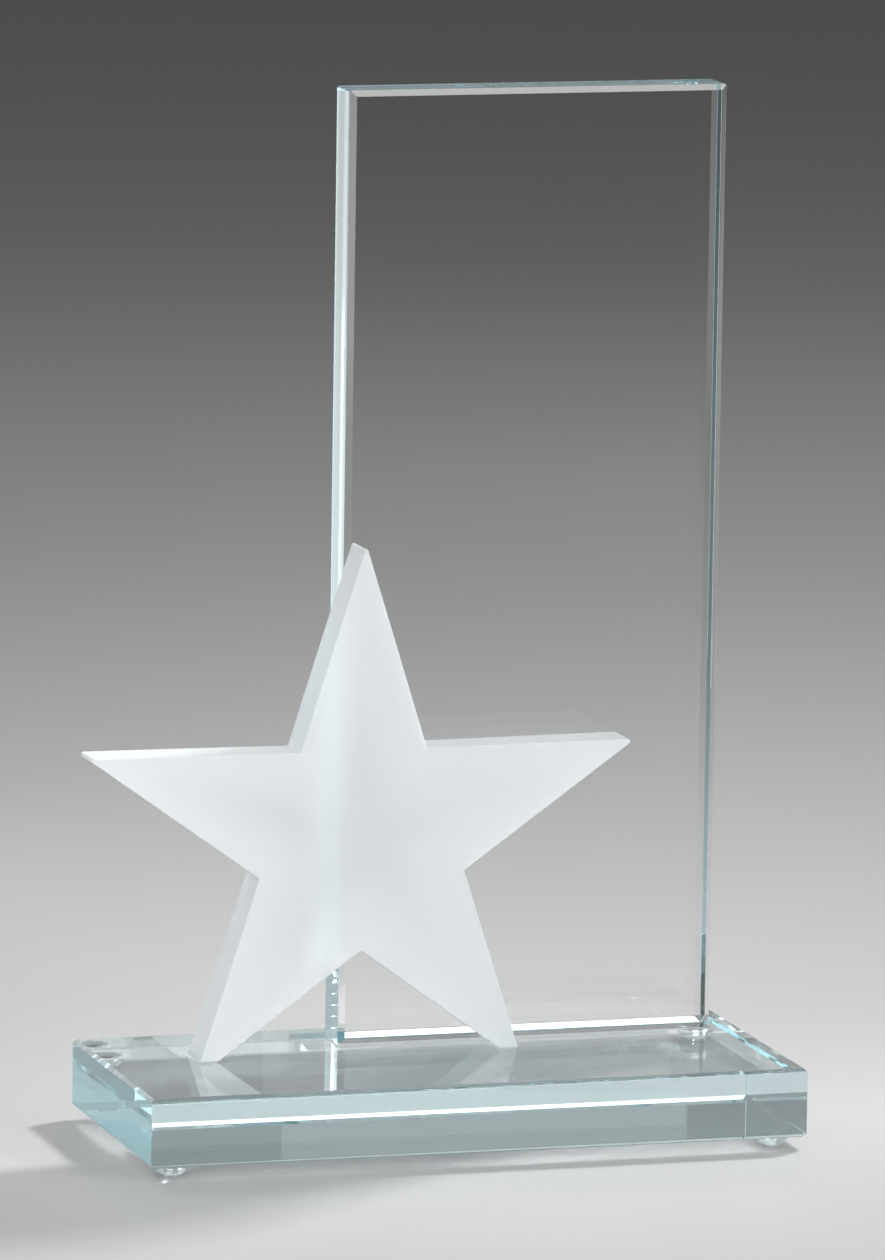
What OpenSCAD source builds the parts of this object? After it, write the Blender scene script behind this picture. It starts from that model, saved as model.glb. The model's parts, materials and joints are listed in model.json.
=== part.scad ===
// Star trophy: a clear glass base block and a tall clear glass panel, with a
// frosted glass star standing in front of the panel and four clear bumper feet.
// Origin: centre of the whole outline on the surface the feet rest on.
// +X is the viewer's right, +Y runs from the front to the back, +Z is up.

/* [Base] */
// Length of the base block, left to right
base_l = 145; // [120:1:200]
// Depth of the base block, front to back
base_d = 65; // [50:0.5:100]
// Thickness of the plate glass in the base block
base_t = 15; // [10:0.5:25]
// 45 degree bevel round the top and bottom of the base block
base_bevel = 0.8; // [0.4:0.1:2]
// Fine 45 degree arris on the four upright edges of the base block
base_arris = 0.3; // [0.1:0.1:1]

/* [Panel] */
// Width of the panel
panel_w = 84; // [60:1:110]
// Height of the panel
panel_h = 206; // [150:1:260]
// Thickness of the plate glass in the panel
panel_t = 12; // [8:0.5:19]
// 45 degree bevel round the front and back faces of the panel
panel_bevel = 1.2; // [0.6:0.1:2.4]
// Fine 45 degree arris on the short edges across the thickness
panel_arris = 0.3; // [0.1:0.1:0.6]
// Distance from the base's right end to the panel
panel_right_margin = 7.2; // [3:0.1:12]
// Distance from the base's back face to the panel
panel_back_margin = 8.2; // [3:0.1:12]

/* [Star] */
// Radius from the star's centre to its sharp points, before they are blunted
star_point_r = 64; // [50:0.5:80]
// How much shorter that radius is for the two lower points
star_lower_short = 1.4; // [0:0.1:4]
// Radius from the star's centre to the notches between its points
star_notch_r = 24; // [18:0.5:30]
// Thickness of the plate glass in the star
star_t = 10; // [6:0.5:15]
// Length taken off each point when it is blunted
star_blunt = 1.3; // [0.5:0.1:2]
// Height ground off the two lower points to make their flat feet
star_foot_cut = 3.9; // [3:0.1:6]
// Distance from the base's left end to the star's centre
star_from_left = 55.2; // [45:0.1:65]
// Clear gap between the star's back and the panel
star_gap = 1.2; // [0.5:0.1:4]

/* [Bonds] */
// Thickness of the clear adhesive under the panel and the star
bond_t = 0.2; // [0.1:0.05:0.5]

/* [Feet] */
// Diameter of a domed rubber foot where it meets the base
foot_d = 8; // [6:0.1:12]
// Height of a rubber foot without its adhesive disc
foot_h = 2.4; // [1.8:0.1:5]
// Diameter of the flat that a foot stands on
foot_flat_d = 2.6; // [1:0.1:5]
// Height of the straight rim at the top of a foot
foot_rim = 0.4; // [0.2:0.1:1]
// How far the adhesive disc on top of a foot stops short of its rim
foot_disc_margin = 0.4; // [0.1:0.1:1]
// Thickness of the adhesive disc
foot_disc_t = 0.2; // [0.1:0.05:0.5]
// Distance from the base's sides to the centre of a foot
foot_inset = 6; // [5:0.1:12]

/* [Hidden] */
POINTS = 5;
STEP_ANGLE = 360 / POINTS;
TOP_ANGLE = 90;
LEFT_POINT = 1;
LOWER_LEFT_POINT = 2;
LOWER_RIGHT_POINT = 3;
// How far a cutting solid runs past what it cuts
CLEAR = 1;
$fn = 96;

glass_clear = [0.78, 0.90, 0.90, 0.35];
glass_frosted = [0.93, 0.96, 0.97, 0.95];
adhesive_clear = [0.86, 0.93, 0.93, 0.5];
rubber_clear = [0.88, 0.92, 0.93, 0.6];
adhesive_white = [0.90, 0.92, 0.92, 0.7];

// Heights, from the surface the feet rest on
foot_top_z = foot_h;
base_bottom_z = foot_top_z + foot_disc_t;
base_top_z = base_bottom_z + base_t;
glass_foot_z = base_top_z + bond_t;

// Depths, from the middle of the base
panel_back_y = base_d / 2 - panel_back_margin;
panel_front_y = panel_back_y - panel_t;
star_back_y = panel_front_y - star_gap;

// Star outline, about the star's own centre
function polar(r, a) = [r * cos(a), r * sin(a)];
function point_angle(i) = TOP_ANGLE + STEP_ANGLE * i;
function notch(i) = polar(star_notch_r, point_angle(i) + STEP_ANGLE / 2);
function is_lower(i) = i == LOWER_LEFT_POINT || i == LOWER_RIGHT_POINT;
function point_r(i) = star_point_r - (is_lower(i) ? star_lower_short : 0);
function half_angle(i) =
    atan(star_notch_r * sin(STEP_ANGLE / 2) / (point_r(i) - star_notch_r * cos(STEP_ANGLE / 2)));
function blunt_corner(i, side) =
    polar(point_r(i) - star_blunt, point_angle(i))
    + side * polar(star_blunt * tan(half_angle(i)), point_angle(i) + 90);
star_outline = [for (i = [0 : POINTS - 1]) each [blunt_corner(i, -1), blunt_corner(i, 1), notch(i)]];

// The flat feet: a level line across the two lower points
lower_left_tip = polar(point_r(LOWER_LEFT_POINT), point_angle(LOWER_LEFT_POINT));
star_foot_z = lower_left_tip.y + star_foot_cut;
star_centre_z = glass_foot_z - star_foot_z;
// Where an edge from a lower point's tip to a notch crosses the level line
function edge_x(tip, corner) =
    tip.x + (corner.x - tip.x) * (star_foot_z - tip.y) / (corner.y - tip.y);
star_foot_outer_x = -edge_x(lower_left_tip, notch(LEFT_POINT));
star_foot_inner_x = -edge_x(lower_left_tip, notch(LOWER_LEFT_POINT));
star_foot_mid_x = (star_foot_outer_x + star_foot_inner_x) / 2;

// Sideways places, from the middle of the whole outline
star_reach = -min([for (p = star_outline) p.x]);
left_overhang = max(0, star_reach - star_from_left);
base_mid_x = left_overhang / 2;
base_left_x = base_mid_x - base_l / 2;
base_right_x = base_mid_x + base_l / 2;
star_mid_x = base_left_x + star_from_left;
panel_mid_x = base_right_x - panel_right_margin - panel_w / 2;

// Places of the feet under the base
foot_left_x = base_left_x + foot_inset;
foot_right_x = base_right_x - foot_inset;
foot_front_y = -base_d / 2 + foot_inset;
foot_back_y = base_d / 2 - foot_inset;
// Sphere through the rim and the flat of a foot
dome_h = foot_h - foot_rim;
dome_mid_z = (dome_h * dome_h + (foot_d * foot_d - foot_flat_d * foot_flat_d) / 4) / (2 * dome_h);
dome_r = sqrt(dome_mid_z * dome_mid_z + foot_flat_d * foot_flat_d / 4);

// Rectangle about the origin with its corners cut off at 45 degrees
module cut_rect(w, h, cut)
    polygon([
        [cut - w / 2, -h / 2], [w / 2 - cut, -h / 2], [w / 2, cut - h / 2], [w / 2, h / 2 - cut],
        [w / 2 - cut, h / 2], [cut - w / 2, h / 2], [-w / 2, h / 2 - cut], [-w / 2, cut - h / 2]
    ]);

// Block about the origin, with its edges bevelled along X, Y and Z
module bevelled_block(l, d, h, cut_x, cut_y, cut_z)
    intersection() {
        rotate([90, 0, 90]) linear_extrude(l + CLEAR, center = true) cut_rect(d, h, cut_x);
        rotate([90, 0, 0]) linear_extrude(d + CLEAR, center = true) cut_rect(l, h, cut_y);
        linear_extrude(h + CLEAR, center = true) cut_rect(l, d, cut_z);
    }

module base_block()
    color(glass_clear)
    translate([base_mid_x, 0, base_bottom_z + base_t / 2])
    bevelled_block(base_l, base_d, base_t, base_bevel, base_bevel, base_arris);

module back_panel()
    color(glass_clear)
    translate([panel_mid_x, panel_back_y - panel_t / 2, glass_foot_z + panel_h / 2])
    bevelled_block(panel_w, panel_t, panel_h, panel_bevel, panel_arris, panel_bevel);

module star()
    color(glass_frosted)
    translate([star_mid_x, star_back_y, star_centre_z])
    rotate([90, 0, 0])
    linear_extrude(star_t)
    intersection() {
        polygon(star_outline);
        translate([-star_point_r - CLEAR, star_foot_z])
            square([2 * (star_point_r + CLEAR), star_point_r - star_foot_z + CLEAR]);
    }

module panel_bond()
    color(adhesive_clear)
    translate([panel_mid_x, panel_back_y - panel_t / 2, base_top_z + bond_t / 2])
    cube([panel_w - 2 * panel_arris, panel_t - 2 * panel_bevel, bond_t], center = true);

// Adhesive under one of the star's feet; side is -1 for the left, 1 for the right
module star_bond(side)
    color(adhesive_clear)
    translate([star_mid_x + side * star_foot_mid_x, star_back_y - star_t / 2, base_top_z + bond_t / 2])
    cube([star_foot_outer_x - star_foot_inner_x, star_t, bond_t], center = true);

module foot(x, y)
    color(rubber_clear)
    translate([x, y, 0])
    intersection() {
        cylinder(h = foot_h, d = foot_d);
        translate([0, 0, dome_mid_z]) sphere(r = dome_r);
    }

module foot_disc(x, y)
    color(adhesive_white)
    translate([x, y, foot_top_z])
    cylinder(h = foot_disc_t, d = foot_d - 2 * foot_disc_margin);

base_block();
back_panel();
star();
panel_bond();
star_bond(-1);  // star_bond_left
star_bond(1);  // star_bond_right
foot(foot_left_x, foot_front_y);  // foot_front_left
foot(foot_right_x, foot_front_y);  // foot_front_right
foot(foot_left_x, foot_back_y);  // foot_back_left
foot(foot_right_x, foot_back_y);  // foot_back_right
foot_disc(foot_left_x, foot_front_y);  // foot_disc_front_left
foot_disc(foot_right_x, foot_front_y);  // foot_disc_front_right
foot_disc(foot_left_x, foot_back_y);  // foot_disc_back_left
foot_disc(foot_right_x, foot_back_y);  // foot_disc_back_right
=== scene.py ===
"""Star trophy: looks for the glass base, glass panel, frosted star, bonds and clear bumper feet."""

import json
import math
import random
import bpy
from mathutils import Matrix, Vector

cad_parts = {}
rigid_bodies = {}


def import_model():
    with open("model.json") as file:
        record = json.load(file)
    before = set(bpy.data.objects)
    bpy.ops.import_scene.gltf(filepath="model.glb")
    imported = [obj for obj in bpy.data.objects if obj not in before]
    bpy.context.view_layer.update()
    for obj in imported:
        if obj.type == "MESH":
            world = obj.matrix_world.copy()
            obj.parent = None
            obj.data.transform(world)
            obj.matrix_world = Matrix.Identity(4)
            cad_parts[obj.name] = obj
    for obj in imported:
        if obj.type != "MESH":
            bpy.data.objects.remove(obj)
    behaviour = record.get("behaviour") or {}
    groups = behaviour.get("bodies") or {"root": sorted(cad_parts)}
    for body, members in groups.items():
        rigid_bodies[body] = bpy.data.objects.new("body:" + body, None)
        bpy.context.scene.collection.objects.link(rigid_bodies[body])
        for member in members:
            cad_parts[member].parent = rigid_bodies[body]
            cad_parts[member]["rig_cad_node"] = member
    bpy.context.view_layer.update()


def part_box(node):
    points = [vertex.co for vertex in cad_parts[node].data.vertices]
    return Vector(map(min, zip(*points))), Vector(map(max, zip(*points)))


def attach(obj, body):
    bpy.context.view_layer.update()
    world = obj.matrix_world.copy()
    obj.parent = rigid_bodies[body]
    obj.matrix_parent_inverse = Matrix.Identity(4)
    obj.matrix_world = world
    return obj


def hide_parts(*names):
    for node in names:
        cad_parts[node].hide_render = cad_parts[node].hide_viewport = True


bl_info = {
    "name": "Star Trophy Builder",
    "version": (1, 0, 0),
    "blender": (4, 5, 0),
    "location": "View3D > Sidebar > Trophy",
    "description": "Builds a glass award with a frosted star, its materials and a studio stage",
    "category": "Add Mesh",
}

import bmesh
import bpy
from bpy.props import FloatProperty, FloatVectorProperty, IntProperty, PointerProperty
from mathutils import Matrix, Vector

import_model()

MM = 0.001
BODY = "root"
CORNERS = [f"{end}_{side}" for end in ("front", "back") for side in ("left", "right")]
AXES = (Vector((1, 0, 0)), Vector((0, 1, 0)), Vector((0, 0, 1)))
GRIND_SEED = 11
# Corners nearer than this are welded into one
WELD = 1e-7
# What the lights face: a point on the upright axis, a third of the way up the trophy
AIM = (0.0, 0.0, 0.08)


# ---------------------------------------------------------------- settings


class GlassSettings(bpy.types.PropertyGroup):
    """Sizes and optics of the clear plate glass."""

    ior: FloatProperty(name="Refractive index", description="Index of the plate glass", default=1.52)
    absorb_colour: FloatVectorProperty(
        name="Body colour",
        description="Colour that the glass keeps over a long path",
        subtype="COLOR",
        size=3,
        default=(0.10, 0.70, 0.79),
    )
    base_density: FloatProperty(
        name="Base density", description="Strength of the base's body colour, per metre", default=4.4
    )
    panel_density: FloatProperty(
        name="Panel density", description="Strength of the panel's body colour, per metre", default=5.0
    )
    panel_coat: FloatVectorProperty(
        name="Panel coat",
        description="Faint warm coat that keeps the view through the panel neutral",
        subtype="COLOR",
        size=3,
        default=(1.0, 0.967, 0.963),
    )
    base_bevel: FloatProperty(
        name="Base bevel", description="Bevel round the base block", default=0.8 * MM, unit="LENGTH"
    )
    base_arris: FloatProperty(
        name="Base arris",
        description="Cut on the base's upright edges",
        default=0.08 * MM,
        unit="LENGTH",
    )
    base_front_bevel_left: FloatProperty(
        name="Front bevel, left end",
        description="Top front bevel where it meets the left end",
        default=1.1 * MM,
        unit="LENGTH",
    )
    base_front_bevel_right: FloatProperty(
        name="Front bevel, right end",
        description="Top front bevel where it meets the right end",
        default=0.6 * MM,
        unit="LENGTH",
    )
    panel_bevel: FloatProperty(
        name="Panel bevel", description="Bevel round the panel's faces", default=1.2 * MM, unit="LENGTH"
    )
    panel_arris: FloatProperty(
        name="Panel arris",
        description="Cut on the short edges across the panel",
        default=0.3 * MM,
        unit="LENGTH",
    )
    grind_spread: FloatProperty(
        name="Grinding spread", description="How far a bevel's width strays, as a share", default=0.05
    )
    edge_round: FloatProperty(
        name="Edge rounding",
        description="Polished round on every edge",
        default=0.03 * MM,
        unit="LENGTH",
    )


class StarSettings(bpy.types.PropertyGroup):
    """Sizes and finish of the frosted star."""

    points: IntProperty(name="Points", description="Number of points", default=5, min=3)
    point_radius: FloatProperty(
        name="Point radius", description="Centre to a sharp point", default=64 * MM, unit="LENGTH"
    )
    lower_short: FloatProperty(
        name="Lower shortfall",
        description="How much shorter the two lower points are",
        default=1.4 * MM,
        unit="LENGTH",
    )
    notch_radius: FloatProperty(
        name="Notch radius", description="Centre to a notch", default=24 * MM, unit="LENGTH"
    )
    blunt: FloatProperty(
        name="Blunting", description="Length taken off a point", default=1.3 * MM, unit="LENGTH"
    )
    edge_round: FloatProperty(
        name="Blasted edge", description="Round left by the blasting", default=0.35 * MM, unit="LENGTH"
    )
    frost_roughness: FloatProperty(
        name="Frost", description="Roughness of the blasted skin", default=0.62, subtype="FACTOR"
    )


class JoinSettings(bpy.types.PropertyGroup):
    """Bonds and bumper feet."""

    overlap: FloatProperty(
        name="Wetting depth",
        description="How far a clear film reaches into the glass that it wets",
        default=0.02 * MM,
        unit="LENGTH",
    )
    rim: FloatProperty(
        name="Foot rim", description="Straight rim at the top of a foot", default=0.4 * MM, unit="LENGTH"
    )
    flat: FloatProperty(
        name="Foot flat", description="Diameter a foot stands on", default=2.6 * MM, unit="LENGTH"
    )
    rings: IntProperty(name="Rings", description="Rings between a foot's flat and rim", default=16)
    tape_round: FloatProperty(
        name="Disc rounding",
        description="How much an adhesive disc narrows at its underside",
        default=0.05 * MM,
        unit="LENGTH",
    )
    film_round: FloatProperty(
        name="Bond rounding",
        description="Round on the upright corners of a bond",
        default=0.25 * MM,
        unit="LENGTH",
    )


class StageSettings(bpy.types.PropertyGroup):
    """Floor, lights and camera."""

    floor_radius: FloatProperty(
        name="Floor radius", description="Size of the studio floor", default=14.0, unit="LENGTH"
    )
    heading: FloatProperty(
        name="Heading",
        description="Direction the camera looks in, from straight back towards the right",
        default=math.radians(16.965),
        subtype="ANGLE",
    )
    pitch: FloatProperty(
        name="Pitch",
        description="How far the camera looks down",
        default=math.radians(9.283),
        subtype="ANGLE",
    )
    roll: FloatProperty(
        name="Roll", description="Turn about the lens axis", default=math.radians(0.846), subtype="ANGLE"
    )
    lens: FloatProperty(name="Lens", description="Focal length in millimetres", default=285.69)
    camera_place: FloatVectorProperty(
        name="Camera place",
        description="Camera position from the middle of the base, on the floor",
        subtype="XYZ",
        unit="LENGTH",
        size=3,
        default=(-0.61326, -2.00843, 0.45283),
    )


# ---------------------------------------------------------------- mesh helpers


def put_in_scene(name, mesh):
    """Links a mesh as an object at the origin."""
    mesh.name = name
    piece = bpy.data.objects.new(name, mesh)
    bpy.context.scene.collection.objects.link(piece)
    return piece


def as_piece(name, mesh, material, nodes):
    """Makes a finished piece of the trophy that stands for some CAD nodes, under a name of its own."""
    old = bpy.data.objects.get(name)
    if old is not None and "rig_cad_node" in old:
        name = f"{name}_film" if "bond" in name else f"{name}_glass"
    piece = put_in_scene(name, mesh)
    piece.data.materials.clear()
    piece.data.materials.append(material)
    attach(piece, BODY)
    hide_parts(*nodes)
    return piece


def mesh_from(bm, name):
    """Welds a bmesh and turns it into a mesh with its faces outwards."""
    bmesh.ops.remove_doubles(bm, verts=bm.verts[:], dist=WELD)
    bmesh.ops.recalc_face_normals(bm, faces=bm.faces[:])
    mesh = bpy.data.meshes.new(name)
    bm.to_mesh(mesh)
    bm.free()
    return mesh


def box_bmesh(low, high):
    """A plain box between two corners."""
    bm = bmesh.new()
    bmesh.ops.create_cube(bm, size=1.0)
    middle = (low + high) / 2
    size = high - low
    for vert in bm.verts:
        vert.co = Vector((vert.co.x * size.x, vert.co.y * size.y, vert.co.z * size.z)) + middle
    return bm


def grind(bm, point, normal):
    """Takes off everything outside one plane and leaves a flat face there."""
    everything = bm.verts[:] + bm.edges[:] + bm.faces[:]
    cut = bmesh.ops.bisect_plane(
        bm, geom=everything, dist=1e-8, plane_co=point, plane_no=normal, clear_outer=True
    )
    edges = [item for item in cut["geom_cut"] if isinstance(item, bmesh.types.BMEdge)]
    if not edges:
        raise RuntimeError("a bevel missed the glass")
    bmesh.ops.contextual_create(bm, geom=edges)


def bevel_edge(bm, low, high, along, signs, cut_start, cut_end):
    """Grinds one edge of the box low..high; along is its axis and signs say which of the four it is."""
    first, second = [axis for axis in range(3) if axis != along]
    start = Vector((low.x, low.y, low.z))
    for axis, sign in ((first, signs[0]), (second, signs[1])):
        start[axis] = high[axis] if sign > 0 else low[axis]
    end = start.copy()
    end[along] = high[along]
    out_first = AXES[first] * signs[0]
    out_second = AXES[second] * signs[1]
    corner = start - out_second * cut_start
    across = (start - out_first * cut_start) - corner
    normal = across.cross((end - out_second * cut_end) - corner).normalized()
    if normal.dot(out_first + out_second) < 0:
        normal.negate()
    grind(bm, corner, normal)


def round_edges(bm, offset, segments):
    """Rounds every edge of a bmesh by the same small amount."""
    bmesh.ops.bevel(
        bm,
        geom=bm.edges[:],
        offset=offset,
        segments=segments,
        profile=0.5,
        affect="EDGES",
        clamp_overlap=True,
    )


def ground_block(low, high, cuts, spread, edge_round, special=None):
    """A block of plate glass with all twelve edges ground by hand and polished.

    cuts holds the bevel along X, Y and Z; special gives an edge, by axis and signs, its own two ends.
    """
    dice = random.Random(GRIND_SEED)
    special = special or {}
    bm = box_bmesh(low, high)
    for along in range(3):
        for signs in ((-1, -1), (-1, 1), (1, -1), (1, 1)):
            even = [cuts[along] * (1 + dice.uniform(-spread, spread)) for _ in range(2)]
            cut_start, cut_end = special.get((along, signs), even)
            bevel_edge(bm, low, high, along, signs, cut_start, cut_end)
    bmesh.ops.remove_doubles(bm, verts=bm.verts[:], dist=WELD)
    round_edges(bm, edge_round, 2)
    return mesh_from(bm, "block")


# ---------------------------------------------------------------- node helpers


class Graph:
    """Short ways to add and join nodes in one node tree."""

    def __init__(self, tree):
        self.tree = tree

    def add(self, kind, inputs=None, **settings):
        """Adds a node, sets its properties, and feeds its inputs with values or sockets."""
        node = self.tree.nodes.new(kind)
        for name, value in settings.items():
            setattr(node, name, value)
        for key, value in (inputs or {}).items():
            self.feed(node.inputs[key], value)
        return node

    def feed(self, socket, value):
        """Joins a socket to another, or sets its value."""
        if isinstance(value, bpy.types.NodeSocket):
            self.tree.links.new(value, socket)
        else:
            socket.default_value = value

    def maths(self, operation, *values, clamp=False):
        """One Math node; returns its result."""
        kind = "ShaderNodeMath"
        node = self.add(kind, dict(enumerate(values)), operation=operation, use_clamp=clamp)
        return node.outputs[0]

    def remap(self, value, from_low, from_high, to_low, to_high, smooth=False):
        """One Map Range node; returns its result."""
        kind = "SMOOTHSTEP" if smooth else "LINEAR"
        ends = {1: from_low, 2: from_high, 3: to_low, 4: to_high}
        node = self.add("ShaderNodeMapRange", {0: value, **ends}, interpolation_type=kind)
        return node.outputs[0]

    def product(self, *values):
        """All the values multiplied together."""
        whole = values[0]
        for value in values[1:]:
            whole = self.maths("MULTIPLY", whole, value)
        return whole

    def noise(self, place, scale, detail=3.0, rough=0.5):
        """A Noise Texture's value at a place."""
        inputs = {"Vector": place, "Scale": scale, "Detail": detail, "Roughness": rough}
        return self.add("ShaderNodeTexNoise", inputs).outputs["Fac"]

    def two_tone(self, value, dark, light):
        """A colour between two, by a value from 0 to 1."""
        node = self.add("ShaderNodeMix", {0: value}, data_type="RGBA")
        self.feed(node.inputs[6], (*dark, 1))
        self.feed(node.inputs[7], (*light, 1))
        return node.outputs[2]


def clear_shader(graph, tone, haze, ior, bump):
    """A Principled shader that lets all its light through."""
    inputs = {
        "Base Color": tone,
        "Roughness": haze,
        "IOR": ior,
        "Transmission Weight": 1.0,
        "Normal": bump.outputs[0],
    }
    return graph.add("ShaderNodeBsdfPrincipled", inputs).outputs[0]


def material_graph(name):
    """An empty material with its graph and output node."""
    material = bpy.data.materials.new(name)
    material.use_nodes = True
    material.node_tree.nodes.clear()
    graph = Graph(material.node_tree)
    output = graph.add("ShaderNodeOutputMaterial")
    place = graph.add("ShaderNodeTexCoord").outputs["Object"]
    return material, graph, output, place


# ---------------------------------------------------------------- materials


def plate_glass(name, glass, density, coat=(1.0, 1.0, 1.0)):
    """Clear plate glass with a blue-green body, the waves of a hand polish and a tint on its skin."""
    material, graph, output, place = material_graph(name)
    waves = graph.noise(place, 14.0, detail=1.0)
    bump = graph.add("ShaderNodeBump", {"Strength": 0.2, "Distance": 0.01 * MM, "Height": waves})
    haze = graph.remap(graph.noise(place, 130.0), 0.5, 0.8, 0.0, 0.008)
    tone = graph.two_tone(graph.noise(place, 20.0), [0.995 * part for part in coat], coat)
    body = graph.add(
        "ShaderNodeVolumeAbsorption",
        {"Color": (*glass.absorb_colour, 1), "Density": density},
    )
    graph.feed(output.inputs["Surface"], clear_shader(graph, tone, haze, glass.ior, bump))
    graph.feed(output.inputs["Volume"], body.outputs[0])
    return material


def rim_distance(graph, place, star, centre):
    """Distance inward from the star's outline, from one folded point of it."""
    spot = graph.add("ShaderNodeVectorMath", {0: place, 1: centre}, operation="SUBTRACT").outputs[0]
    parts = graph.add("ShaderNodeSeparateXYZ", {0: spot}).outputs
    half_step = math.pi / star.points
    around_centre = graph.maths("ARCTAN2", parts["X"], parts["Z"])
    folded = graph.maths("PINGPONG", graph.maths("ABSOLUTE", around_centre), half_step)
    flat = graph.add("ShaderNodeCombineXYZ", {"X": parts["X"], "Y": parts["Z"]}).outputs[0]
    reach = graph.add("ShaderNodeVectorMath", {0: flat}, operation="LENGTH").outputs["Value"]
    tip = Vector((star.point_radius, 0.0))
    notch = Vector((math.cos(half_step), math.sin(half_step))) * star.notch_radius
    edge = tip - notch
    outward = Vector((-edge.y, edge.x)).normalized()
    along = graph.maths("MULTIPLY", graph.maths("COSINE", folded), outward.x)
    aside = graph.maths("MULTIPLY", graph.maths("SINE", folded), outward.y)
    out_part = graph.maths("MULTIPLY", reach, graph.maths("ADD", along, aside))
    return graph.maths("SUBTRACT", tip.dot(outward), out_part)


def blasted_glass(name, star, centre):
    """Sandblasted white glass: a rough skin that scatters, with grain and a painted glow of light at its
    rim.
    """
    material, graph, output, place = material_graph(name)
    grain = graph.noise(place, 5200.0, detail=4.0, rough=0.65)
    cloud = graph.noise(place, 45.0, detail=3.0)
    bump = graph.add("ShaderNodeBump", {"Strength": 0.35, "Distance": 0.02 * MM, "Height": grain})
    # Painted light: the colour is whiter near the outline and brightest in a thin rim, standing in for
    # light that gathers where the star is narrow
    inward = rim_distance(graph, place, star, centre)
    body = graph.remap(inward, 0.003, 0.017, 0.985, 0.92, smooth=True)
    rim = graph.remap(inward, 0.0, 0.005, 0.06, 0.0, smooth=True)
    mottle = graph.remap(cloud, 0.3, 0.7, -0.012, 0.012)
    white = graph.maths("ADD", graph.maths("ADD", body, rim), mottle, clamp=True)
    red = graph.maths("MULTIPLY", white, 0.96)
    green = graph.maths("MULTIPLY", white, 0.987)
    tone = graph.add("ShaderNodeCombineColor", {0: red, 1: green, 2: white}).outputs[0]
    spread = graph.remap(cloud, 0.3, 0.7, star.frost_roughness - 0.04, star.frost_roughness + 0.04)
    shader = graph.add(
        "ShaderNodeBsdfPrincipled",
        {
            "Base Color": tone,
            "Roughness": spread,
            "IOR": 1.5,
            "Transmission Weight": 0.62,
            "Normal": bump.outputs[0],
        },
    )
    graph.feed(output.inputs["Surface"], shader.outputs[0])
    return material


def clear_cast(name, ior, tint, haze_top):
    """Clear cast material such as cured adhesive or a rubber bumper."""
    material, graph, output, place = material_graph(name)
    cloud = graph.noise(place, 400.0)
    bump = graph.add("ShaderNodeBump", {"Strength": 0.3, "Distance": 0.02 * MM, "Height": cloud})
    tone = graph.two_tone(cloud, tint, (1.0, 1.0, 1.0))
    haze = graph.remap(cloud, 0.3, 0.8, haze_top / 4, haze_top)
    graph.feed(output.inputs["Surface"], clear_shader(graph, tone, haze, ior, bump))
    return material


# ---------------------------------------------------------------- glass pieces


class TROPHY_OT_base_block(bpy.types.Operator):
    """Makes the base block of clear plate glass"""

    bl_idname = "trophy.base_block"
    bl_label = "Base block"

    def execute(self, context):
        glass = context.scene.trophy_glass
        low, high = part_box("base_block")
        front_top = (0, (-1, 1))
        mesh = ground_block(
            low,
            high,
            (glass.base_bevel, glass.base_bevel, glass.base_arris),
            glass.grind_spread,
            glass.edge_round,
            {front_top: (glass.base_front_bevel_left, glass.base_front_bevel_right)},
        )
        material = plate_glass("base_glass", glass, glass.base_density)
        as_piece("base_block", mesh, material, ["base_block"])
        return {"FINISHED"}


class TROPHY_OT_back_panel(bpy.types.Operator):
    """Makes the tall bevelled panel of clear plate glass"""

    bl_idname = "trophy.back_panel"
    bl_label = "Back panel"

    def execute(self, context):
        glass = context.scene.trophy_glass
        low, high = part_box("back_panel")
        mesh = ground_block(
            low,
            high,
            (glass.panel_bevel, glass.panel_arris, glass.panel_bevel),
            glass.grind_spread,
            glass.edge_round,
        )
        material = plate_glass("panel_glass", glass, glass.panel_density, glass.panel_coat)
        as_piece("back_panel", mesh, material, ["back_panel"])
        return {"FINISHED"}


# ---------------------------------------------------------------- geometry trees


def geometry_tree(name, sockets):
    """An empty geometry node tree with these named inputs; sockets maps each name to its kind."""
    tree = bpy.data.node_groups.new(name, "GeometryNodeTree")
    for label, kind in sockets.items():
        tree.interface.new_socket(name=label, in_out="INPUT", socket_type=f"NodeSocket{kind}")
    tree.interface.new_socket(name="Geometry", in_out="OUTPUT", socket_type="NodeSocketGeometry")
    graph = Graph(tree)
    given = graph.add("NodeGroupInput").outputs
    return tree, graph, given


def end_tree(graph, geometry, material):
    """Makes the instances real, sets the material and joins the result to the tree's output."""
    real = graph.add("GeometryNodeRealizeInstances", {"Geometry": geometry}).outputs[0]
    coated = graph.add("GeometryNodeSetMaterial", {"Geometry": real, "Material": material}).outputs[0]
    graph.add("NodeGroupOutput", {0: coated})


def grown_mesh(tree, values):
    """Runs a geometry node tree with these named inputs and returns its result as a plain mesh."""
    host = put_in_scene("grower", bpy.data.meshes.new("grower"))
    modifier = host.modifiers.new("grow", "NODES")
    modifier.node_group = tree
    for item in tree.interface.items_tree:
        if item.in_out == "INPUT" and item.name in values:
            modifier[item.identifier] = values[item.name]
    bpy.context.view_layer.update()
    depsgraph = bpy.context.evaluated_depsgraph_get()
    mesh = bpy.data.meshes.new_from_object(host.evaluated_get(depsgraph))
    host.modifiers.remove(modifier)
    bpy.data.objects.remove(host)
    if not mesh.polygons:
        raise RuntimeError(f"the tree {tree.name} made no faces")
    return mesh


# ---------------------------------------------------------------- star


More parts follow.
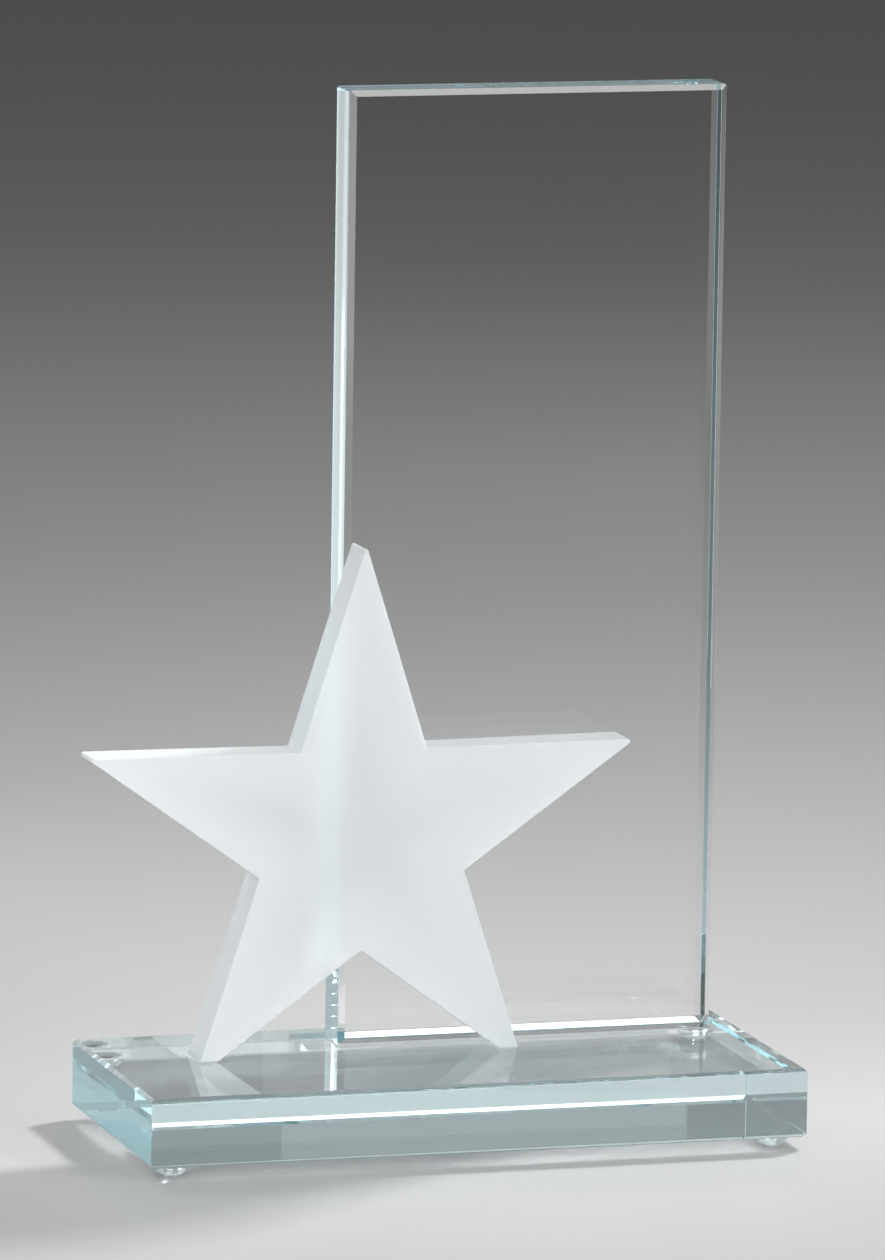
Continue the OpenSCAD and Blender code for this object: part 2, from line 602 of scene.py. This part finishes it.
def star_tree():
    """Geometry nodes for a blunted star with level feet, standing on its two lower points."""
    sockets = {
        "Points": "Int",
        "Point radius": "Float",
        "Lower shortfall": "Float",
        "Notch radius": "Float",
        "Blunting": "Float",
        "Foot level": "Float",
        "Thickness": "Float",
        "Centre": "Vector",
        "Material": "Material",
    }
    tree, graph, given = geometry_tree("blunted_star", sockets)

    # Three corners for each point: one on either side of its blunt end, then the notch after it
    corner = graph.add("GeometryNodeInputIndex").outputs[0]
    point = graph.maths("FLOOR", graph.maths("DIVIDE", corner, 3.0))
    kind = graph.maths("MODULO", corner, 3.0)
    step = graph.maths("DIVIDE", math.tau, given["Points"])
    half_step = graph.maths("MULTIPLY", step, 0.5)
    tip_angle = graph.maths("MULTIPLY_ADD", step, point, math.pi / 2)
    side = graph.maths("COMPARE", kind, 0.0, 0.5)
    toward = graph.maths("MULTIPLY_ADD", side, -2.0, 1.0)
    notch_angle = graph.maths("MULTIPLY_ADD", toward, half_step, tip_angle)
    is_low = graph.maths("LESS_THAN", graph.maths("SINE", tip_angle), -0.5)
    shortfall = graph.maths("MULTIPLY", is_low, given["Lower shortfall"])
    reach = graph.maths("SUBTRACT", given["Point radius"], shortfall)

    def polar(radius, angle):
        """X and Z of a place on the star's face, from its centre."""
        across = graph.maths("MULTIPLY", radius, graph.maths("COSINE", angle))
        up = graph.maths("MULTIPLY", radius, graph.maths("SINE", angle))
        return across, up

    tip_x, tip_z = polar(reach, tip_angle)
    notch_x, notch_z = polar(given["Notch radius"], notch_angle)
    depth = graph.maths("MULTIPLY", given["Notch radius"], graph.maths("COSINE", half_step))
    blunt_part = graph.maths("DIVIDE", given["Blunting"], graph.maths("SUBTRACT", reach, depth))
    blunt_share = graph.maths("SUBTRACT", 1.0, blunt_part)
    drop = graph.maths("SUBTRACT", given["Foot level"], notch_z)
    level_share = graph.maths("DIVIDE", drop, graph.maths("SUBTRACT", tip_z, notch_z))
    flat_share = graph.maths("MULTIPLY", is_low, graph.maths("SUBTRACT", level_share, blunt_share))
    edge_share = graph.maths("ADD", blunt_share, flat_share)
    is_notch = graph.maths("COMPARE", kind, 2.0, 0.5)
    share = graph.maths("MULTIPLY", edge_share, graph.maths("SUBTRACT", 1.0, is_notch))
    x = graph.maths("MULTIPLY_ADD", graph.maths("SUBTRACT", tip_x, notch_x), share, notch_x)
    z = graph.maths("MULTIPLY_ADD", graph.maths("SUBTRACT", tip_z, notch_z), share, notch_z)
    half = graph.maths("MULTIPLY", given["Thickness"], 0.5)
    place = graph.add("ShaderNodeCombineXYZ", {"X": x, "Y": half, "Z": z}).outputs[0]

    count = graph.maths("MULTIPLY", given["Points"], 3.0)
    ring = graph.add("GeometryNodeMeshCircle", {"Vertices": count}, fill_type="NGON").outputs[0]
    back = graph.add("GeometryNodeSetPosition", {"Geometry": ring, "Position": place}).outputs[0]
    forward = graph.maths("MULTIPLY", given["Thickness"], -1.0)
    front_way = graph.add("ShaderNodeCombineXYZ", {"Y": forward})
    front = graph.add("GeometryNodeExtrudeMesh", {"Mesh": back, "Offset": front_way.outputs[0]})
    whole = graph.add("GeometryNodeJoinGeometry")
    graph.feed(whole.inputs[0], front.outputs[0])
    graph.feed(whole.inputs[0], graph.add("GeometryNodeFlipFaces", {"Mesh": back}).outputs[0])
    seal = {"Geometry": whole.outputs[0], "Distance": 10 * WELD}
    sealed = graph.add("GeometryNodeMergeByDistance", seal).outputs[0]
    shift = {"Geometry": sealed, "Translation": given["Centre"]}
    moved = graph.add("GeometryNodeTransform", shift).outputs[0]
    end_tree(graph, moved, given["Material"])
    return tree


class TROPHY_OT_star(bpy.types.Operator):
    """Makes the frosted star"""

    bl_idname = "trophy.star"
    bl_label = "Star"

    def execute(self, context):
        star = context.scene.trophy_star
        low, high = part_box("star")
        centre_z = high.z - (star.point_radius - star.blunt)
        centre = ((low.x + high.x) / 2, (low.y + high.y) / 2, centre_z)
        frost = blasted_glass("star_frost", star, centre)
        mesh = grown_mesh(
            star_tree(),
            {
                "Points": star.points,
                "Point radius": star.point_radius,
                "Lower shortfall": star.lower_short,
                "Notch radius": star.notch_radius,
                "Blunting": star.blunt,
                "Foot level": low.z - centre_z,
                "Thickness": high.y - low.y,
                "Centre": centre,
                "Material": frost,
            },
        )
        bm = bmesh.new()
        bm.from_mesh(mesh)
        round_edges(bm, star.edge_round, 3)
        as_piece("star", mesh_from(bm, "star"), frost, ["star"])
        return {"FINISHED"}


# ---------------------------------------------------------------- bonds and feet


class TROPHY_OT_bonds(bpy.types.Operator):
    """Makes the cured adhesive under the panel and under the star's feet"""

    bl_idname = "trophy.bonds"
    bl_label = "Bonds"

    def execute(self, context):
        join = context.scene.trophy_join
        adhesive = clear_cast("cured_adhesive", 1.5, (0.97, 0.99, 0.99), 0.02)
        for node in ("panel_bond", "star_bond_left", "star_bond_right"):
            low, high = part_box(node)
            low.z -= join.overlap
            high.z += join.overlap
            bm = box_bmesh(low, high)
            rises = [(edge, edge.verts[0].co.z - edge.verts[1].co.z) for edge in bm.edges]
            upright = [edge for edge, rise in rises if abs(rise) > join.overlap]
            bmesh.ops.bevel(
                bm,
                geom=upright,
                offset=join.film_round,
                segments=4,
                profile=0.5,
                affect="EDGES",
            )
            as_piece(node, mesh_from(bm, node), adhesive, [node])
        return {"FINISHED"}


def corner_tree():
    """Geometry nodes that turn one foot, drawn by its own rule, and set it at four corners."""
    sockets = {
        "Radius": "Float",
        "Bottom": "Float",
        "Top": "Float",
        "Flat radius": "Float",
        "Rim": "Float",
        "Rings": "Int",
        "Spacing X": "Float",
        "Spacing Y": "Float",
        "Centre": "Vector",
        "Material": "Material",
    }
    tree, graph, given = geometry_tree("corner_feet", sockets)

    height = graph.maths("SUBTRACT", given["Top"], given["Bottom"])
    drum = graph.add(
        "GeometryNodeMeshCylinder",
        {
            "Vertices": 64,
            "Side Segments": given["Rings"],
            "Fill Segments": 4,
            "Radius": 1.0,
            "Depth": height,
        },
    )
    on_drum = graph.add("GeometryNodeInputPosition").outputs[0]
    spot = graph.add("ShaderNodeSeparateXYZ", {0: on_drum}).outputs
    # Circle through the rim and the flat, for the radius at each height
    dome = graph.maths("SUBTRACT", height, given["Rim"])
    wide = graph.maths("MULTIPLY", given["Radius"], given["Radius"])
    narrow = graph.maths("MULTIPLY", given["Flat radius"], given["Flat radius"])
    spare = graph.maths("SUBTRACT", wide, narrow)
    square = graph.maths("MULTIPLY_ADD", dome, dome, spare)
    twice_dome = graph.maths("MAXIMUM", graph.maths("MULTIPLY", dome, 2.0), 1e-9)
    middle = graph.maths("DIVIDE", square, twice_dome)
    ball = graph.maths("MULTIPLY_ADD", middle, middle, narrow)
    above = graph.maths("MULTIPLY_ADD", height, 0.5, spot["Z"])
    below_middle = graph.maths("SUBTRACT", middle, above)
    left_over = graph.maths("SUBTRACT", ball, graph.maths("MULTIPLY", below_middle, below_middle))
    curve = graph.maths("SQRT", graph.maths("MAXIMUM", left_over, 0.0))
    radius = graph.maths("MINIMUM", curve, given["Radius"])
    x = graph.maths("MULTIPLY", spot["X"], radius)
    y = graph.maths("MULTIPLY", spot["Y"], radius)
    place = graph.add("ShaderNodeCombineXYZ", {"X": x, "Y": y, "Z": spot["Z"]}).outputs[0]
    turned = {"Geometry": drum.outputs[0], "Position": place}
    foot = graph.add("GeometryNodeSetPosition", turned).outputs[0]
    middle_z = graph.maths("MULTIPLY_ADD", height, 0.5, given["Bottom"])
    lift = graph.add("ShaderNodeCombineXYZ", {"Z": middle_z}).outputs[0]
    stood = graph.add("GeometryNodeTransform", {"Geometry": foot, "Translation": lift}).outputs[0]
    grid = graph.add(
        "GeometryNodeMeshGrid",
        {"Size X": given["Spacing X"], "Size Y": given["Spacing Y"], "Vertices X": 2, "Vertices Y": 2},
    )
    shift = {"Geometry": grid.outputs[0], "Translation": given["Centre"]}
    corners = graph.add("GeometryNodeTransform", shift).outputs[0]
    setting = {"Points": corners, "Instance": stood}
    copies = graph.add("GeometryNodeInstanceOnPoints", setting).outputs[0]
    end_tree(graph, copies, given["Material"])
    return tree


class TROPHY_OT_feet(bpy.types.Operator):
    """Makes the four clear bumper feet and their adhesive discs"""

    bl_idname = "trophy.feet"
    bl_label = "Feet"

    def execute(self, context):
        join = context.scene.trophy_join
        tree = corner_tree()
        rubber = clear_cast("clear_rubber", 1.47, (0.93, 0.96, 0.97), 0.06)
        tape = clear_cast("foot_tape", 1.48, (0.93, 0.96, 0.96), 0.10)
        first_low, first_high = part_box("foot_front_left")
        last_low, last_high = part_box("foot_back_right")
        near = (first_low + first_high) / 2
        far = (last_low + last_high) / 2
        middle = (near + far) / 2
        shared = {
            "Spacing X": far.x - near.x,
            "Spacing Y": far.y - near.y,
            "Centre": (middle.x, middle.y, 0.0),
        }
        rubber_mesh = grown_mesh(
            tree,
            {
                **shared,
                "Radius": (first_high.x - first_low.x) / 2,
                "Bottom": first_low.z,
                "Top": first_high.z,
                "Flat radius": join.flat / 2,
                "Rim": join.rim,
                "Rings": join.rings,
                "Material": rubber,
            },
        )
        feet = [f"foot_{corner}" for corner in CORNERS]
        as_piece("bumper_feet", rubber_mesh, rubber, feet)
        low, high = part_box("foot_disc_front_left")
        tape_radius = (high.x - low.x) / 2
        tape_mesh = grown_mesh(
            tree,
            {
                **shared,
                "Radius": tape_radius,
                "Bottom": low.z - join.overlap,
                "Top": high.z + join.overlap,
                "Flat radius": tape_radius - join.tape_round,
                "Rim": (high.z - low.z) / 2,
                "Rings": 4,
                "Material": tape,
            },
        )
        discs = [f"foot_disc_{corner}" for corner in CORNERS]
        as_piece("foot_discs", tape_mesh, tape, discs)
        return {"FINISHED"}


# ---------------------------------------------------------------- stage


def floor_material(stage):
    """Pale matt floor with painted shade: its colour runs darker behind the trophy, in a graduated zone,
    and falls off with distance.

    Distances are in metres from the trophy. The painted shade zone lies along the camera's heading, and
    its mirror image lies in front, where only the glass shows it.
    """
    material, graph, output, place = material_graph("studio_floor")
    raw = graph.add("ShaderNodeSeparateXYZ", {0: place}).outputs
    depth = graph.maths("ABSOLUTE", raw["Y"])
    mirrored = graph.add("ShaderNodeCombineXYZ", {"X": raw["X"], "Y": depth}).outputs[0]
    turned = graph.add("ShaderNodeMapping", {"Vector": mirrored, "Rotation": (0, 0, stage.heading)})
    spot = graph.add("ShaderNodeSeparateXYZ", {0: turned.outputs[0]}).outputs
    side = graph.maths("ABSOLUTE", spot["X"])
    away = graph.add("ShaderNodeVectorMath", {0: place}, operation="LENGTH").outputs["Value"]

    def painted_falloff(reach, power):
        """Painted fall-off of light: falls from 1 to a half at this reach, and on towards 0."""
        share = graph.maths("POWER", graph.maths("DIVIDE", away, reach), power)
        return graph.maths("DIVIDE", 1.0, graph.maths("ADD", share, 1.0))

    # Painted shade: the zone where the floor's colour runs darker, along the camera's heading and
    # mirrored in front
    across = graph.remap(side, 0.35, 0.9, 1.0, 0.0, smooth=True)
    behind = graph.remap(spot["Y"], -0.2, 0.15, 0.0, 1.0, smooth=True)
    painted_shade_zone = graph.product(across, behind)
    # Painted light and shade along the zone, from front to back: 1.6 times far in front, 0.75 nearer, 1
    # behind
    far_front = graph.remap(raw["Y"], -1.0, -0.6, 1.6, 0.75, smooth=True)
    near_front = graph.remap(raw["Y"], -0.3, -0.1, 0.0, 0.25, smooth=True)
    dark = graph.product(painted_shade_zone, painted_falloff(0.53, 1.48), graph.maths("ADD", far_front, near_front))
    # Outside the zone the floor has the painted fall-off too, and painted shade that darkens it towards
    # the left
    outside_shade_zone = graph.maths("SUBTRACT", 1.0, painted_shade_zone)
    painted_left_shade = graph.remap(raw["X"], -0.6, 0.2, 0.45, 1.5, smooth=True)
    plain = graph.product(outside_shade_zone, painted_falloff(3.5, 1.2), painted_left_shade)
    # Painted light and shade: evens out what the soft boxes put on the floor near the trophy and far
    # behind it
    lift = graph.remap(away, 0.75, 1.4, 0.95, 1.13, smooth=True)
    drop = graph.remap(away, 1.8, 2.4, 1.0, 0.9, smooth=True)
    value = graph.product(graph.maths("ADD", dark, plain), graph.product(lift, drop, 0.525))
    fibre = graph.remap(graph.noise(place, 900.0, detail=4.0), 0.3, 0.7, 0.99, 1.01)
    shade = graph.product(value, fibre)
    colour = graph.add("ShaderNodeCombineColor", {0: shade, 1: shade, 2: shade}).outputs[0]
    shader = graph.add(
        "ShaderNodeBsdfPrincipled",
        {"Base Color": colour, "Roughness": 0.45, "Specular IOR Level": 0.25},
    )
    graph.feed(output.inputs["Surface"], shader.outputs[0])
    return material


def add_floor(stage):
    """A wide round floor at the feet."""
    bm = bmesh.new()
    bmesh.ops.create_circle(bm, cap_ends=True, segments=128, radius=stage.floor_radius)
    mesh = bpy.data.meshes.new("floor")
    bm.to_mesh(mesh)
    bm.free()
    floor = put_in_scene("floor", mesh)
    floor.data.materials.append(floor_material(stage))


def add_softbox(name, place, target, size, power, colour=(1.0, 1.0, 1.0)):
    """A rectangular soft light that faces a target and stays out of sight."""
    lamp = bpy.data.lights.new(name, "AREA")
    lamp.shape = "RECTANGLE"
    lamp.size, lamp.size_y = size
    lamp.energy = power
    lamp.color = colour
    holder = bpy.data.objects.new(name, lamp)
    bpy.context.scene.collection.objects.link(holder)
    holder.location = place
    holder.rotation_mode = "QUATERNION"
    holder.rotation_quaternion = (Vector(target) - Vector(place)).to_track_quat("-Z", "Y")
    holder.visible_camera = False


def around(heading, climb, distance):
    """A place round the trophy, in degrees; heading 0 is straight in front and 90 is to the right."""
    turn = math.radians(heading)
    rise = math.radians(climb)
    flat = math.cos(rise) * distance
    return (math.sin(turn) * flat, -math.cos(turn) * flat, math.sin(rise) * distance + AIM[2])


def add_lights():
    """A hard key behind, soft boxes all round, and a cool card that lights the panel's left edge."""
    cool = (0.92, 0.98, 1.0)
    add_softbox("key", around(121.5, 52.5, 1.5), AIM, (0.15, 0.15), 17.5)
    add_softbox("low_front_right", around(45, 12, 1.3), AIM, (0.75, 0.4), 6.3)
    add_softbox("front_card", around(20, 15, 1.3), AIM, (0.5, 0.3), 0.7)
    add_softbox("low_front_left", around(315, 12, 1.3), AIM, (0.75, 0.4), 5.8)
    add_softbox("high_front_right", around(67, 40, 1.3), AIM, (0.8, 0.5), 1.5)
    add_softbox("high_behind", around(158, 25, 1.3), AIM, (0.6, 0.3), 1.0)
    add_softbox("card_behind", around(162.5, 10, 1.2), AIM, (0.135, 0.2), 0.007)
    add_softbox("high_back_left", around(202, 40, 1.3), AIM, (0.8, 0.5), 2.5)
    add_softbox("overhead", around(0, 90, 1.42), AIM, (0.7, 0.7), 0.8)
    add_softbox("strip_front_right", (0.55, -0.85, 0.22), AIM, (0.25, 0.4), 2.2)
    panel_edge = (-0.016, 0.018, 0.13)
    add_softbox("edge_card", (-0.13, 0.40, 0.13), panel_edge, (0.08, 0.22), 0.115, cool)


def add_world():
    """Even studio surround: grey at eye level, darker on the left, brighter overhead."""
    world = bpy.data.worlds.new("studio")
    bpy.context.scene.world = world
    world.use_nodes = True
    world.node_tree.nodes.clear()
    graph = Graph(world.node_tree)
    way = graph.add("ShaderNodeTexCoord").outputs["Generated"]
    parts = graph.add("ShaderNodeSeparateXYZ", {0: way}).outputs
    up = parts["Z"]
    low_level = graph.remap(up, 0.0, 0.25, 0.29, 0.38, smooth=True)
    left_wall = graph.remap(parts["X"], -0.95, -0.7, 0.35, 1.0, smooth=True)
    level = graph.maths("MULTIPLY", low_level, left_wall)
    overhead = graph.remap(up, 0.3, 0.9, 0.0, 0.25, smooth=True)
    shade = graph.maths("ADD", level, overhead)
    background = graph.add("ShaderNodeBackground", {"Strength": shade})
    output = graph.add("ShaderNodeOutputWorld")
    graph.feed(output.inputs[0], background.outputs[0])


def add_camera(stage):
    """The camera, above the trophy's height and to the left of its front."""
    heading, pitch, roll = stage.heading, stage.pitch, stage.roll
    ahead = Vector((math.sin(heading), math.cos(heading), 0.0))
    level = Vector((math.cos(heading), -math.sin(heading), 0.0))
    forward = ahead * math.cos(pitch) - Vector((0.0, 0.0, math.sin(pitch)))
    upright = level.cross(forward)
    right = level * math.cos(roll) + upright * math.sin(roll)
    up = upright * math.cos(roll) - level * math.sin(roll)
    lens = bpy.data.cameras.new("camera")
    lens.lens = stage.lens
    lens.sensor_width = 36.0
    lens.clip_start = 0.1
    lens.clip_end = 60.0
    camera = bpy.data.objects.new("camera", lens)
    bpy.context.scene.collection.objects.link(camera)
    low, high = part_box("base_block")
    middle = Vector(((low.x + high.x) / 2, (low.y + high.y) / 2, 0.0))
    turn = Matrix((right, up, -forward)).transposed()
    camera.matrix_world = Matrix.Translation(middle + Vector(stage.camera_place)) @ turn.to_4x4()
    bpy.context.scene.camera = camera


class TROPHY_OT_stage(bpy.types.Operator):
    """Makes the floor, the soft lights, the surround and the camera"""

    bl_idname = "trophy.stage"
    bl_label = "Stage"

    def execute(self, context):
        scene = context.scene
        stage = scene.trophy_stage
        add_floor(stage)
        add_lights()
        add_world()
        add_camera(stage)
        scene.view_settings.view_transform = "Standard"
        scene.view_settings.look = "None"
        cycles = scene.cycles
        cycles.max_bounces = 32
        cycles.transmission_bounces = 32
        cycles.glossy_bounces = 24
        cycles.diffuse_bounces = 4
        cycles.caustics_reflective = True
        cycles.caustics_refractive = True
        cycles.blur_glossy = 0.3
        cycles.sample_clamp_indirect = 0.0
        return {"FINISHED"}


# ---------------------------------------------------------------- panel and run


class TROPHY_PT_panel(bpy.types.Panel):
    """Buttons and sizes for the trophy"""

    bl_idname = "TROPHY_PT_panel"
    bl_label = "Star trophy"
    bl_space_type = "VIEW_3D"
    bl_region_type = "UI"
    bl_category = "Trophy"

    def draw(self, context):
        layout = self.layout
        for operator in OPERATORS:
            layout.operator(operator.bl_idname)
        for name in SETTINGS:
            group = getattr(context.scene, name)
            box = layout.box()
            for key in group.bl_rna.properties.keys():
                if key not in ("name", "rna_type"):
                    box.prop(group, key)


OPERATORS = (
    TROPHY_OT_base_block,
    TROPHY_OT_back_panel,
    TROPHY_OT_star,
    TROPHY_OT_bonds,
    TROPHY_OT_feet,
    TROPHY_OT_stage,
)
SETTINGS = {
    "trophy_glass": GlassSettings,
    "trophy_star": StarSettings,
    "trophy_join": JoinSettings,
    "trophy_stage": StageSettings,
}


def register():
    """Registers the settings, the operators and the panel."""
    for name, group in SETTINGS.items():
        bpy.utils.register_class(group)
        setattr(bpy.types.Scene, name, PointerProperty(type=group))
    for operator in OPERATORS:
        bpy.utils.register_class(operator)
    bpy.utils.register_class(TROPHY_PT_panel)


def unregister():
    """Removes what register added."""
    bpy.utils.unregister_class(TROPHY_PT_panel)
    for operator in reversed(OPERATORS):
        bpy.utils.unregister_class(operator)
    for name, group in reversed(SETTINGS.items()):
        delattr(bpy.types.Scene, name)
        bpy.utils.unregister_class(group)


def main():
    """Builds every piece and the stage in order."""
    register()
    bpy.ops.trophy.base_block()
    bpy.ops.trophy.back_panel()
    bpy.ops.trophy.star()
    bpy.ops.trophy.bonds()
    bpy.ops.trophy.feet()
    bpy.ops.trophy.stage()


if __name__ == "__main__":
    main()
